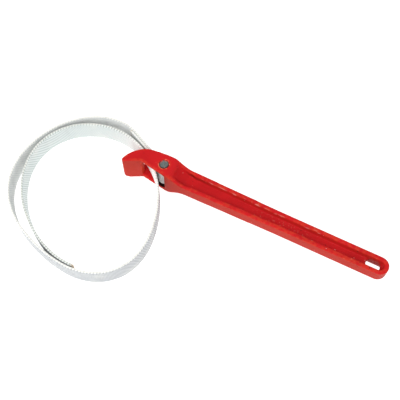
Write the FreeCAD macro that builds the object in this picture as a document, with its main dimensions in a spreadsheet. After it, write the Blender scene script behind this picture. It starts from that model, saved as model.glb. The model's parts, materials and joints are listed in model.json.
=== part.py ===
import FreeCAD, Part
import math
import os
import Sketcher
from FreeCAD import Placement, Rotation, Vector

# A strap wrench lying flat. The origin is on the pin's axis, in the head's resting face.
# +X runs along the shank to the hang slot, +Z is up through the head, and the mouth faces -Y.
# Everything is in millimetres and degrees.

doc = FreeCAD.newDocument("strap_wrench")

# ---------------------------------------------------------------- driving dimensions

DIMENSIONS = {
    # head: two cheeks with a hooked nose between them
    "head_thickness": 38.0,
    "cheek_thickness": 5.0,
    "nose_tip_x": -43.8,
    "nose_tip_y": -13.9,
    "nose_heel_x": -42.0,
    "nose_heel_y": -16.5,
    "nose_root_x": -24.2,
    "nose_root_y": -6.8,
    "crown_x": -23.0,
    "crown_y": 9.6,
    "nose_back_radius": 34.0,
    "crown_radius": 140.0,
    "head_end_x": 11.0,
    "head_half_width": 12.0,
    "mouth_corner_x": 4.8,
    "mouth_corner_y": -11.4,
    # slot for the strap, open at the mouth and at the back
    "nose_bend_y": -1.6,
    "nose_wall_x": -33.0,
    "nose_wall_y": 3.8,
    "slot_overrun": 3.0,
    "eye_pocket_radius": 9.7,
    "pocket_end_angle": 100.0,
    "pocket_start_angle": -60.0,
    # pin
    "pin_radius": 5.0,
    # shank: an I section that tapers towards the hang slot
    "shank_thickness": 17.0,
    "taper_end_x": 135.0,
    "taper_end_half_width": 9.9,
    "end_centre_x": 245.2,
    "end_radius": 9.7,
    "shoulder_start_x": 6.0,
    "shoulder_end_x": 33.0,
    "shoulder_crest_radius": 12.0,
    "scoop_start_x": 9.0,
    "scoop_end_x": 33.0,
    "scoop_crest_radius": 5.0,
    "scoop_width": 15.0,
    "channel_start_x": 22.0,
    "channel_depth": 6.0,
    "channel_draft": 16.0,
    "channel_overcut": 6.0,
    "rim_width": 4.3,
    "hang_slot_x": 239.0,
    "hang_slot_length": 15.5,
    "hang_slot_width": 8.4,
    # strap
    "strap_width": 27.0,
    "strap_thickness": 2.5,
    "link_length": 27.0,
    "link_gap": 0.2,
    "running_clearance": 0.08,
    "sewn_heading": 154.5,
    "sewn_run": 53.0,
    "sewn_neck_x": 18.0,
    "sewn_neck_angle": 73.2,
    # stitches across the sewn part
    "stitch_length": 3.2,
    "stitch_width": 0.8,
    "stitch_height": 0.5,
    "stitch_sunk": 0.25,
    "stitch_pitch": 4.4,
    "first_stitch_x": 29.0,
    "stitches_in_row": 5.0,
    "stitch_margin": 4.0,
    "stitch_rows": 4.0,
}

# The strap's route from the sewn part round the loop, through the head and along the tail:
# how far each stretch turns to the left at rest, in degrees, in order.
STRAP_TURNS = (
    ("far", (31, 24, 18, 17, 15, 19)),
    ("left", (23, 20, 15)),
    ("flat", (9, 10)),
    ("bend", (21, 28, 30, 22)),
    ("near", (12, 12, 17)),
    ("head", (16, 20, 21, 21, 24)),
    ("tail", (26, 22, 17, 15)),
    ("tip", (11, 15, 19)),
)

sheet = doc.addObject("Spreadsheet::Sheet", "dims")


def add_dimension(row, alias, value):
    """Keep one plain number in the sheet under a word of its own."""
    sheet.set("A%d" % row, alias)
    sheet.set("B%d" % row, str(value))
    sheet.setAlias("B%d" % row, alias)


def turn_alias(stretch, number):
    return "%s_turn_%d" % (stretch, number)


def fill_sheet():
    row = 1
    for alias, value in DIMENSIONS.items():
        add_dimension(row, alias, value)
        row += 1
    for stretch, turns in STRAP_TURNS:
        for number, turn in enumerate(turns, 1):
            add_dimension(row, turn_alias(stretch, number), turn)
            row += 1
    doc.recompute()


fill_sheet()


def size(alias):
    """The number that the sheet holds under this alias."""
    return float(sheet.get(alias))


# ---------------------------------------------------------------- helpers for bodies and sketches

def new_body(label):
    body = doc.addObject("PartDesign::Body", label)
    body.Label = label
    return body


def origin_plane(body, role):
    return next(o for o in body.Origin.OriginFeatures if o.Role == role)


def new_sketch(body, name, role="XY_Plane", height=None):
    """A sketch on one of the body's own origin planes, raised to a height given as an expression."""
    sketch = body.newObject("Sketcher::SketchObject", name)
    sketch.AttachmentSupport = [(origin_plane(body, role), "")]
    sketch.MapMode = "FlatFace"
    if height is not None:
        sketch.setExpression("AttachmentOffset.Base.z", height)
    return sketch


def value_of(sketch, expression):
    """Work out an expression on the sheet's aliases as a plain number."""
    result = sketch.evalExpression(expression)
    return float(getattr(result, "Value", result))


def bind(sketch, constraint, expression):
    index = sketch.addConstraint(constraint)
    sketch.setExpression("Constraints[%d]" % index, expression)


def pin_point(sketch, geometry, end, x, y):
    """Hold a point of the sketch at the coordinates that two expressions give."""
    along, across = value_of(sketch, x), value_of(sketch, y)
    bind(sketch, Sketcher.Constraint("DistanceX", -1, 1, geometry, end, along), x)
    bind(sketch, Sketcher.Constraint("DistanceY", -1, 1, geometry, end, across), y)


def arc_middle(start, end, radius, side):
    """The middle of an arc from start to end that bulges to the left (side 1) or right (side -1)."""
    chord = end - start
    half = chord.Length / 2
    rise = radius - math.sqrt(max(radius * radius - half * half, 0.0))
    normal = Vector(-chord.y, chord.x, 0).normalize()
    return (start + end) * 0.5 + normal * (rise * side)


def draw_outline(sketch, steps):
    """Draw a closed outline. A step is (x, y), reached by a line, or (x, y, radius, side), by an arc.

    Coordinates and radii are expressions on the sheet, so the outline follows it.
    """
    points = [Vector(value_of(sketch, s[0]), value_of(sketch, s[1]), 0) for s in steps]
    first = sketch.GeometryCount
    count = len(steps)
    ends = []
    for i, step in enumerate(steps):
        start, end = points[i - 1], points[i]
        if len(step) == 2:
            edge = Part.LineSegment(start, end)
            ends.append((1, 2))
        else:
            middle = arc_middle(start, end, value_of(sketch, step[2]), step[3])
            edge = Part.Arc(start, middle, end)
            ends.append((2, 1) if step[3] > 0 else (1, 2))
        sketch.addGeometry(edge)
    for i, step in enumerate(steps):
        before = (i - 1) % count
        sketch.addConstraint(Sketcher.Constraint(
            "Coincident", first + before, ends[before][1], first + i, ends[i][0]))
        if len(step) == 4:
            radius = value_of(sketch, step[2])
            bind(sketch, Sketcher.Constraint("Radius", first + i, radius), step[2])
        pin_point(sketch, first + i, ends[i][1], step[0], step[1])


def draw_circle(sketch, x, y, radius):
    centre = Vector(value_of(sketch, x), value_of(sketch, y), 0)
    index = sketch.addGeometry(Part.Circle(centre, Vector(0, 0, 1), value_of(sketch, radius)))
    pin_point(sketch, index, 3, x, y)
    bind(sketch, Sketcher.Constraint("Radius", index, value_of(sketch, radius)), radius)


def pad(body, sketch, name, length):
    feature = body.newObject("PartDesign::Pad", name)
    feature.Profile = sketch
    feature.setExpression("Length", length)
    doc.recompute()
    return feature


def pocket(body, sketch, name, length=None, upwards=False, both_ways=False, draft=None):
    """Cut the sketch into the body and make sure that it cuts. With no length it cuts right through."""
    before = body.Shape.Volume
    feature = body.newObject("PartDesign::Pocket", name)
    feature.Profile = sketch
    feature.Reversed = upwards
    if length is None:
        feature.Type = "ThroughAll"
    else:
        feature.setExpression("Length", length)
    feature.Midplane = both_ways or length is None
    if draft is not None:
        feature.setExpression("TaperAngle", draft)
    doc.recompute()
    removed = before - body.Shape.Volume
    if removed < 1.0:
        raise RuntimeError("%s cuts nothing" % name)
    print("  %s removes %.0f mm3" % (name, removed))
    return feature


# ---------------------------------------------------------------- handle casting

SHANK_BASE = "((dims.head_thickness - dims.shank_thickness) / 2)"
SHANK_TOP = "((dims.head_thickness + dims.shank_thickness) / 2)"


def plan_outline(sketch):
    """The whole casting seen from above: hooked head, tapered shank and rounded end."""
    draw_outline(sketch, (
        ("dims.nose_tip_x", "dims.nose_tip_y", "dims.nose_back_radius", -1),
        ("dims.nose_heel_x", "dims.nose_heel_y"),
        ("dims.nose_root_x", "dims.nose_root_y"),
        ("dims.mouth_corner_x", "dims.mouth_corner_y"),
        ("dims.head_end_x", "-dims.head_half_width"),
        ("dims.taper_end_x", "-dims.taper_end_half_width"),
        ("dims.end_centre_x", "-dims.end_radius"),
        ("dims.end_centre_x + dims.end_radius", "0", "dims.end_radius", -1),
        ("dims.end_centre_x", "dims.end_radius", "dims.end_radius", -1),
        ("dims.taper_end_x", "dims.taper_end_half_width"),
        ("dims.head_end_x", "dims.head_half_width"),
        ("dims.crown_x", "dims.crown_y", "dims.crown_radius", -1),
    ))


def mirrored(height, lower):
    """A height above the resting face, or the same height measured down from the top face."""
    return "dims.head_thickness - (%s)" % height if lower else height


def falling_curve(start_x, end_x, drop, crest_radius, lower):
    """Steps of an S from the head's face down to a lower level: a round crest, then a hollow."""
    run = "(%s - %s)" % (end_x, start_x)
    both_radii = "((%s * %s + %s * %s) / (2 * %s))" % (run, run, drop, drop, drop)
    share = "(%s / %s)" % (crest_radius, both_radii)
    top = "dims.head_thickness"
    crest_side = -1 if lower else 1
    return (
        (start_x, mirrored(top, lower)),
        ("%s + %s * %s" % (start_x, run, share), mirrored("%s - %s * %s" % (top, drop, share), lower),
         crest_radius, crest_side),
        (end_x, mirrored("%s - %s" % (top, drop), lower),
         "%s - %s" % (both_radii, crest_radius), -crest_side),
    )


def shoulder_outline(sketch, lower=False):
    """What is cut away over (or under) the shank: the head falls to it in one smooth curve."""
    drop = "((dims.head_thickness - dims.shank_thickness) / 2)"
    clear_x = "dims.end_centre_x + dims.end_radius + dims.slot_overrun"
    clear_z = mirrored("dims.head_thickness + dims.slot_overrun", lower)
    curve = falling_curve("dims.shoulder_start_x", "dims.shoulder_end_x", drop,
                          "dims.shoulder_crest_radius", lower)
    draw_outline(sketch, curve + (
        (clear_x, mirrored(SHANK_TOP, lower)),
        (clear_x, clear_z),
        ("dims.shoulder_start_x", clear_z),
    ))


def scoop_outline(sketch, lower=False):
    """The hollow in which a channel starts: it sinks from the head's face to the channel's floor."""
    drop = "(dims.head_thickness - %s + dims.channel_depth)" % SHANK_TOP
    clear_z = mirrored("dims.head_thickness + dims.slot_overrun", lower)
    curve = falling_curve("dims.scoop_start_x", "dims.scoop_end_x", drop,
                          "dims.scoop_crest_radius", lower)
    draw_outline(sketch, curve + (
        ("dims.scoop_end_x", clear_z),
        ("dims.scoop_start_x", clear_z),
    ))


def slot_outline(sketch):
    """The space between the nose and the web: wide at the mouth, round about the eye, open at the back."""
    over = "dims.slot_overrun"
    draw_outline(sketch, (
        ("dims.nose_wall_x", "dims.nose_wall_y"),
        ("dims.nose_root_x", "dims.nose_bend_y"),
        ("dims.nose_root_x", "dims.nose_root_y - " + over),
        ("dims.eye_pocket_radius * cos(dims.pocket_start_angle * 1deg)",
         "dims.mouth_corner_y - " + over),
        ("dims.eye_pocket_radius * cos(dims.pocket_start_angle * 1deg)",
         "dims.eye_pocket_radius * sin(dims.pocket_start_angle * 1deg)"),
        ("dims.eye_pocket_radius", "0", "dims.eye_pocket_radius", -1),
        ("dims.eye_pocket_radius * cos(dims.pocket_end_angle * 1deg)",
         "dims.eye_pocket_radius * sin(dims.pocket_end_angle * 1deg)",
         "dims.eye_pocket_radius", -1),
        ("-dims.head_half_width", "dims.head_half_width + " + over),
        ("dims.nose_wall_x - " + over, "dims.head_half_width + " + over),
    ))


def channel_outline(sketch):
    """The groove in one face of the shank, drawn in the plane of the overcut, where it is wider."""
    spread = "dims.channel_overcut * tan(dims.channel_draft * 1deg)"
    wide = "(dims.head_half_width - dims.rim_width + %s)" % spread
    middle = "(dims.taper_end_half_width - dims.rim_width + %s)" % spread
    narrow = "(dims.end_radius - dims.rim_width + %s)" % spread
    draw_outline(sketch, (
        ("dims.channel_start_x", "-(%s)" % wide),
        ("dims.taper_end_x", "-(%s)" % middle),
        ("dims.end_centre_x", "-(%s)" % narrow),
        ("dims.end_centre_x + %s" % narrow, "0", narrow, -1),
        ("dims.end_centre_x", narrow, narrow, -1),
        ("dims.taper_end_x", middle),
        ("dims.channel_start_x", wide),
    ))


def hang_slot_outline(sketch):
    half = "dims.hang_slot_width / 2"
    left = "dims.hang_slot_x - (dims.hang_slot_length - dims.hang_slot_width) / 2"
    right = "dims.hang_slot_x + (dims.hang_slot_length - dims.hang_slot_width) / 2"
    draw_outline(sketch, (
        (left, "-" + half, half, -1),
        (right, "-" + half),
        (right + " + " + half, "0", half, -1),
        (right, half, half, -1),
        (left, half),
        (left + " - " + half, "0", half, -1),
    ))


def make_handle_casting():
    body = new_body("handle_casting")
    sketch = new_sketch(body, "plan_sketch")
    plan_outline(sketch)
    pad(body, sketch, "plan", "dims.head_thickness")
    for side, lower in (("upper", False), ("lower", True)):
        sketch = new_sketch(body, side + "_shoulder_sketch", role="XZ_Plane")
        shoulder_outline(sketch, lower)
        pocket(body, sketch, side + "_shoulder")
        sketch = new_sketch(body, side + "_scoop_sketch", role="XZ_Plane")
        scoop_outline(sketch, lower)
        pocket(body, sketch, side + "_scoop", "dims.scoop_width", both_ways=True)
        overcut = " - dims.channel_overcut" if lower else " + dims.channel_overcut"
        height = (SHANK_BASE if lower else SHANK_TOP) + overcut
        sketch = new_sketch(body, side + "_channel_sketch", height=height)
        channel_outline(sketch)
        pocket(body, sketch, side + "_channel", "dims.channel_depth + dims.channel_overcut",
               upwards=lower, draft="-dims.channel_draft")
    sketch = new_sketch(body, "slot_sketch", height="dims.cheek_thickness")
    slot_outline(sketch)
    pocket(body, sketch, "strap_slot", "dims.head_thickness - 2 * dims.cheek_thickness", upwards=True)
    sketch = new_sketch(body, "hang_slot_sketch", height="dims.head_thickness / 2")
    hang_slot_outline(sketch)
    pocket(body, sketch, "hang_slot")
    sketch = new_sketch(body, "pin_hole_sketch", height="dims.head_thickness / 2")
    draw_circle(sketch, "0", "0", "dims.pin_radius")
    pocket(body, sketch, "pin_hole")
    return body


# ---------------------------------------------------------------- pin

def make_strap_pin():
    """A plain pin driven through both cheeks, its ends dressed flush with them."""
    body = new_body("strap_pin")
    sketch = new_sketch(body, "pin_sketch")
    draw_circle(sketch, "0", "0", "dims.pin_radius")
    pad(body, sketch, "pin", "dims.head_thickness")
    return body


# ---------------------------------------------------------------- strap

STRAP_BASE = "(dims.head_thickness - dims.strap_width) / 2"
EYE_RADIUS = "(dims.pin_radius + dims.running_clearance + dims.strap_thickness)"


def make_strap_eye():
    """The sewn end: the webbing passes round the pin and is sewn back to itself, two layers thick."""
    body = new_body("strap_eye")
    sketch = new_sketch(body, "eye_sketch", height=STRAP_BASE)
    neck_x = EYE_RADIUS + " * cos(dims.sewn_neck_angle * 1deg)"
    neck_y = EYE_RADIUS + " * sin(dims.sewn_neck_angle * 1deg)"
    run_end = "dims.sewn_run - dims.link_gap / 2"
    draw_outline(sketch, (
        (run_end, "-dims.strap_thickness"),
        (run_end, "dims.strap_thickness"),
        ("dims.sewn_neck_x", "dims.strap_thickness"),
        (neck_x, neck_y),
        ("-" + EYE_RADIUS, "0", EYE_RADIUS, -1),
        (neck_x, "-" + neck_y, EYE_RADIUS, -1),
        ("dims.sewn_neck_x", "-dims.strap_thickness"),
    ))
    draw_circle(sketch, "0", "0", "dims.pin_radius + dims.running_clearance")
    pad(body, sketch, "sewn_end", "dims.strap_width")
    body.Placement = Placement(Vector(0, 0, 0), Rotation(Vector(0, 0, 1), size("sewn_heading")))
    return body


def strap_route():
    """Walk along the strap: each stretch's name, start point, heading and turn."""
    heading = math.radians(size("sewn_heading"))
    along = Vector(math.cos(heading), math.sin(heading), 0)
    outwards = Vector(along.y, -along.x, 0)
    point = along * size("sewn_run") + outwards * (size("strap_thickness") / 2)
    for stretch, turns in STRAP_TURNS:
        for number in range(1, len(turns) + 1):
            alias = turn_alias(stretch, number)
            turn = math.radians(size(alias))
            yield "strap_%s_%d" % (stretch, number), alias, point, heading
            radius = size("link_length") / turn
            step = Vector(math.sin(heading + turn) - math.sin(heading),
                          math.cos(heading) - math.cos(heading + turn), 0)
            point = point + step * radius
            heading += turn


def make_strap_stretch(label, alias, point, heading):
    """One stretch of the webbing, curved to its rest shape: a rectangle turned about a vertical axis."""
    body = new_body(label)
    sketch = new_sketch(body, label + "_section", role="XZ_Plane")
    radius = "(dims.link_length / (dims.%s * pi / 180))" % alias
    inner = radius + " - dims.strap_thickness / 2"
    outer = radius + " + dims.strap_thickness / 2"
    top = STRAP_BASE + " + dims.strap_width"
    draw_outline(sketch, ((inner, STRAP_BASE), (outer, STRAP_BASE), (outer, top), (inner, top)))
    turned = body.newObject("PartDesign::Revolution", label + "_curve")
    turned.Profile = sketch
    turned.ReferenceAxis = (sketch, ["V_Axis"])
    turned.setExpression("Angle", "dims.%s - dims.link_gap / %s * 180 / pi" % (alias, radius))
    doc.recompute()
    turn = size(alias)
    bend = size("link_length") / math.radians(turn)
    centre = point + Vector(-math.sin(heading), math.cos(heading), 0) * bend
    half_gap = math.degrees(size("link_gap") / 2 / bend)
    start = math.degrees(heading) - 90 + half_gap
    body.Placement = Placement(centre, Rotation(Vector(0, 0, 1), start))
    return body


# ---------------------------------------------------------------- stitches

def make_stitching():
    """Rows of thread on both faces of the sewn part, outside the head, each stitch sunk a little."""
    base = (size("head_thickness") - size("strap_width")) / 2
    inner_width = size("strap_width") - 2 * size("stitch_margin")
    rows = int(size("stitch_rows"))
    turned = Rotation(Vector(0, 0, 1), size("sewn_heading"))
    stitches = []
    for side in (-1, 1):
        for row in range(rows):
            for number in range(int(size("stitches_in_row"))):
                stitch = doc.addObject("Part::Box", "stitch")
                stitch.setExpression("Length", "dims.stitch_length")
                stitch.setExpression("Width", "dims.stitch_height")
                stitch.setExpression("Height", "dims.stitch_width")
                along = size("first_stitch_x") + number * size("stitch_pitch")
                face = size("strap_thickness") - size("stitch_sunk")
                across = face if side > 0 else -face - size("stitch_height")
                height = base + size("stitch_margin") + row * inner_width / (rows - 1)
                corner = Vector(along, across, height - size("stitch_width") / 2)
                stitch.Placement = Placement(turned.multVec(corner), turned)
                stitches.append(stitch)
    group = doc.addObject("Part::Compound", "stitching")
    group.Label = "stitching"
    group.Links = stitches
    doc.recompute()
    return group


# ---------------------------------------------------------------- check and write

def check_document():
    for item in doc.Objects:
        if "Invalid" in item.State or "Error" in item.State:
            raise RuntimeError("%s failed: %s" % (item.Label, item.State))


def check_part(part):
    if part.Shape.isNull() or not part.Shape.isValid():
        raise RuntimeError("%s has no valid shape" % part.Label)


def main():
    parts = [make_handle_casting(), make_strap_pin(), make_strap_eye(), make_stitching()]
    parts += [make_strap_stretch(*stretch) for stretch in strap_route()]
    doc.recompute()
    check_document()
    for part in parts:
        check_part(part)
    os.makedirs("parts", exist_ok=True)
    for part in parts:
        part.Shape.exportStep(os.path.join("parts", part.Label + ".step"))
        box = part.Shape.BoundBox
        print("%-16s %9.1f mm3  x %.1f..%.1f  y %.1f..%.1f  z %.1f..%.1f" % (
            part.Label, part.Shape.Volume, box.XMin, box.XMax, box.YMin, box.YMax, box.ZMin, box.ZMax))


main()
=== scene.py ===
import json
import math

import bpy
import bmesh
import numpy as np
from bpy.props import FloatProperty, FloatVectorProperty, IntProperty, PointerProperty
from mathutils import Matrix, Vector
from mathutils.bvhtree import BVHTree

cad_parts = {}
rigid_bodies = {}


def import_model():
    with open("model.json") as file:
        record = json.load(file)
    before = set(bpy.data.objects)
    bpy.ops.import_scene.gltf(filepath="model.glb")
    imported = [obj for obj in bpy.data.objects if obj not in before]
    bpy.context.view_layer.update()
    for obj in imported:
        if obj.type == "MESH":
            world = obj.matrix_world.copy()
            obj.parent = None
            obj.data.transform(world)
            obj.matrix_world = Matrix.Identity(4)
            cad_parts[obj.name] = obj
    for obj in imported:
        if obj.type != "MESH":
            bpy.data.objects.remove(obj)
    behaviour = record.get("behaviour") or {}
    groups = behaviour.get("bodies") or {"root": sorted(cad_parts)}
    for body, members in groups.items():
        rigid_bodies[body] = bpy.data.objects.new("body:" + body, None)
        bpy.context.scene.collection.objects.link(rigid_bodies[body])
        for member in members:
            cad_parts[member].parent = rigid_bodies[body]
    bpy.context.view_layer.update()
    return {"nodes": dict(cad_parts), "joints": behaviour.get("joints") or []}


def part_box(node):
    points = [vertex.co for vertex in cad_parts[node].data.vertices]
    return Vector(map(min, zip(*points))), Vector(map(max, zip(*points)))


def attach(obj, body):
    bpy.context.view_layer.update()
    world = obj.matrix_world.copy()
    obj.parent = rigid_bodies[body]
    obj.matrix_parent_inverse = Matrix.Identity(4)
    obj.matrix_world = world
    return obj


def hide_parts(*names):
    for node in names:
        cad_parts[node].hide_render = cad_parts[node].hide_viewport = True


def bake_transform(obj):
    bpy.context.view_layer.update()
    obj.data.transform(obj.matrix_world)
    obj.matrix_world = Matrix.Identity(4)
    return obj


# The looks of a strap wrench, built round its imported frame: an enamelled casting, its pin,
# and one length of woven webbing that is sewn round the pin and looped through the head.
# Everything is in metres, in the frame's own axes.

bl_info = {
    "name": "Strap Wrench Looks",
    "version": (1, 0, 0),
    "blender": (4, 5, 0),
    "location": "View3D > Sidebar > Strap Wrench",
    "description": "Builds the casting, pin, webbing and stitches of a strap wrench",
    "category": "Object",
}

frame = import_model()

MM = 0.001
HEAD_LOW, HEAD_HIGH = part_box("handle_casting")
HEAD_MIDDLE = (HEAD_LOW.z + HEAD_HIGH.z) / 2
PIN_LOW, PIN_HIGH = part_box("strap_pin")
STRAP_LOW, STRAP_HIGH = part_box("strap_eye")
PIN_RADIUS = (PIN_HIGH.x - PIN_LOW.x) / 2
STRAP_WIDTH = STRAP_HIGH.z - STRAP_LOW.z
STRAP_MIDDLE = (STRAP_HIGH.z + STRAP_LOW.z) / 2
BENDS = [joint for joint in frame["joints"] if joint["parent"] != "handle"]


# ---------------------------------------------------------------- settings

class WebbingSettings(bpy.types.PropertyGroup):
    thickness: FloatProperty(
        name="Thickness", description="Thickness of one layer of the webbing",
        default=2.5 * MM, unit="LENGTH")
    rib_pitch: FloatProperty(
        name="Rib pitch", description="Distance along the strap from one rib of the weave to the next",
        default=2.3 * MM, unit="LENGTH")
    rib_height: FloatProperty(
        name="Rib height", description="How far a rib stands above the groove beside it",
        default=0.22 * MM, unit="LENGTH")
    grid_size: FloatProperty(
        name="Grid size", description="Size of the mesh cells that carry the ribs",
        default=0.5 * MM, unit="LENGTH")
    folded_end: FloatProperty(
        name="Folded end", description="How far the sewn layer runs on past the first hinge",
        default=6.0 * MM, unit="LENGTH")
    colour: FloatVectorProperty(
        name="Colour", description="Colour of clean webbing", subtype="COLOR", size=3,
        default=(0.92, 0.93, 0.90), min=0.0, max=1.0)


class StitchSettings(bpy.types.PropertyGroup):
    length: FloatProperty(
        name="Length", description="Length of one stitch", default=3.2 * MM, unit="LENGTH")
    thread: FloatProperty(
        name="Thread", description="Diameter of the thread", default=0.8 * MM, unit="LENGTH")
    pitch: FloatProperty(
        name="Pitch", description="Distance from one stitch to the next", default=4.4 * MM, unit="LENGTH")
    first: FloatProperty(
        name="First stitch", description="Distance from the pin's axis to the first stitch",
        default=30.6 * MM, unit="LENGTH")
    count: IntProperty(
        name="Count", description="Stitches in a row", default=5, min=1)
    rows: IntProperty(
        name="Rows", description="Rows of stitches on each face", default=4, min=2)
    margin: FloatProperty(
        name="Margin", description="Distance from the edge of the strap to the outer row",
        default=4.0 * MM, unit="LENGTH")


class HandleSettings(bpy.types.PropertyGroup):
    grain: FloatProperty(
        name="Grain", description="Cell size of the mesh from which the rounded casting is made",
        default=0.8 * MM, unit="LENGTH")
    rounding: IntProperty(
        name="Rounding", description="How many times the casting's mesh is relaxed, which rounds its edges",
        default=6, min=0)
    sand: FloatProperty(
        name="Sand", description="Height of the unevenness left by the sand mould",
        default=0.07 * MM, unit="LENGTH")
    colour: FloatVectorProperty(
        name="Colour", description="Colour of the enamel", subtype="COLOR", size=3,
        default=(0.58, 0.012, 0.015), min=0.0, max=1.0)


class StageSettings(bpy.types.PropertyGroup):
    azimuth: FloatProperty(
        name="Azimuth", description="Direction of view about the vertical",
        default=math.radians(26.7), subtype="ANGLE")
    elevation: FloatProperty(
        name="Elevation", description="Height of the view above the floor",
        default=math.radians(64.0), subtype="ANGLE")
    distance: FloatProperty(
        name="Distance", description="Distance of the camera from what it looks at",
        default=0.786, unit="LENGTH")
    lens: FloatProperty(
        name="Lens", description="Focal length on a 36 mm wide sensor, in millimetres", default=64.8)


class WrenchSettings(bpy.types.PropertyGroup):
    webbing: PointerProperty(type=WebbingSettings, name="Webbing", description="The strap's webbing")
    stitches: PointerProperty(type=StitchSettings, name="Stitches", description="The sewn end's thread")
    handle: PointerProperty(type=HandleSettings, name="Handle", description="The cast handle")
    stage: PointerProperty(type=StageSettings, name="Stage", description="Camera and light")


def settings():
    return bpy.context.scene.strap_wrench


# ---------------------------------------------------------------- node trees

class Wire:
    """An output of a node, with the arithmetic that a material or a shape needs."""

    def __init__(self, tree, socket):
        self.tree = tree
        self.socket = socket

    def maths(self, operation, *others, swapped=False):
        values = (self,) + others
        if swapped:
            values = values[::-1]
        return self.tree.node("ShaderNodeMath", {"operation": operation}, dict(enumerate(values)))

    def __add__(self, other):
        return self.maths("ADD", other)

    def __radd__(self, other):
        return self.maths("ADD", other)

    def __sub__(self, other):
        return self.maths("SUBTRACT", other)

    def __rsub__(self, other):
        return self.maths("SUBTRACT", other, swapped=True)

    def __mul__(self, other):
        return self.maths("MULTIPLY", other)

    def __rmul__(self, other):
        return self.maths("MULTIPLY", other)

    def sine(self):
        return self.maths("SINE")

    def root(self):
        return self.maths("SQRT")

    def size(self):
        return self.maths("ABSOLUTE")

    def step(self, low, high):
        """0 below low, 1 above high, and smooth between them. Low may be the larger."""
        return self.tree.node(
            "ShaderNodeMapRange", {"interpolation_type": "SMOOTHSTEP"},
            {"Value": self, "From Min": low, "From Max": high, "To Min": 0.0, "To Max": 1.0})


class Tree:
    """A node tree that is being built."""

    def __init__(self, tree):
        self.tree = tree
        self.tree.nodes.clear()

    def feed(self, socket, value):
        if isinstance(value, Wire):
            self.tree.links.new(value.socket, socket)
        else:
            socket.default_value = value

    def node(self, kind, options=None, inputs=None, output=0):
        """Add a node: its options first, then the values or wires of its inputs, by name or number."""
        node = self.tree.nodes.new(kind)
        for name, value in (options or {}).items():
            setattr(node, name, value)
        for key, value in (inputs or {}).items():
            self.feed(node.inputs[key], value)
        return Wire(self, node.outputs[output])


# The sockets of a Mix node that carry colours, by their number
MIX_AMOUNT = 0
MIX_FIRST = 6
MIX_SECOND = 7
MIX_RESULT = 2


class Finish(Tree):
    """A material that is being built on the standard surface shader."""

    def __init__(self, name):
        self.material = bpy.data.materials.new(name)
        self.material.use_nodes = True
        super().__init__(self.material.node_tree)

    def place(self):
        return self.node("ShaderNodeTexCoord", output="Object")

    def attribute(self, name, output="Fac"):
        return self.node("ShaderNodeAttribute", {"attribute_name": name}, output=output)

    def parts(self, vector):
        """The three components of a vector."""
        split = self.node("ShaderNodeSeparateXYZ", inputs={0: vector})
        outputs = split.socket.node.outputs
        return [Wire(self, socket) for socket in outputs]

    def noise(self, vector, scale, detail):
        """A random pattern from 0 to 1, with so many waves to a metre."""
        return self.node("ShaderNodeTexNoise", inputs={"Vector": vector, "Scale": scale, "Detail": detail})

    def stretched(self, vector, scale):
        """The vector with each component multiplied by its own factor."""
        return self.node(
            "ShaderNodeVectorMath", {"operation": "MULTIPLY"}, {0: vector, 1: scale})

    def mix(self, amount, first, second):
        """The first colour where the amount is 0 and the second where it is 1."""
        return self.node(
            "ShaderNodeMix", {"data_type": "RGBA"},
            {MIX_AMOUNT: amount, MIX_FIRST: opaque(first), MIX_SECOND: opaque(second)}, MIX_RESULT)

    def bump(self, height, distance, strength):
        return self.node(
            "ShaderNodeBump", inputs={"Height": height, "Distance": distance, "Strength": strength})

    def surface(self, **values):
        """Finish with the surface shader. Underscores in an input's name stand for spaces."""
        inputs = {name.replace("_", " "): value for name, value in values.items()}
        shader = self.node("ShaderNodeBsdfPrincipled", inputs=inputs)
        output = self.tree.nodes.new("ShaderNodeOutputMaterial")
        self.tree.links.new(shader.socket, output.inputs["Surface"])
        return self.material


def opaque(colour):
    """A colour with its alpha, or whatever else was given."""
    if isinstance(colour, Wire):
        return colour
    return tuple(colour)[:3] + (1.0,)


def darker(colour, *shares):
    """A colour times one share, or times a share of its own for red, green and blue."""
    return tuple(c * share for c, share in zip(colour, shares * (3 // len(shares))))


# ---------------------------------------------------------------- materials

# The enamel's own shades, the painted shade and painted highlights laid over it, and what shows where it is
# worn, dusty or pitted
SHADED_SIDE_ENAMEL = (0.38, 0.025, 0.010)
EDGE_HIGHLIGHT_ENAMEL = (0.62, 0.050, 0.020)
SLOT_SHADE = (0.075, 0.008, 0.006)
EYE_SHADOW = (0.010, 0.006, 0.006)
SPLIT_AND_HIGHLIT_ENAMEL = (0.80, 0.20, 0.11)
RIM_GLINT_ENAMEL = (0.80, 0.30, 0.26)
SCUFFED_ENAMEL = (0.62, 0.13, 0.10)
CHIPPED_ENAMEL = (0.72, 0.22, 0.15)
DUST_SPECK = (0.84, 0.36, 0.30)
PIT_SHADE = (0.12, 0.006, 0.006)

# Where the scuffed flecks lie in the channel, from the pin along the shank
SCUFF_MIDDLE = 138 * MM

# How much the shank's channel narrows along it on each side, for each metre
CHANNEL_TAPER = 0.015


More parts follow.
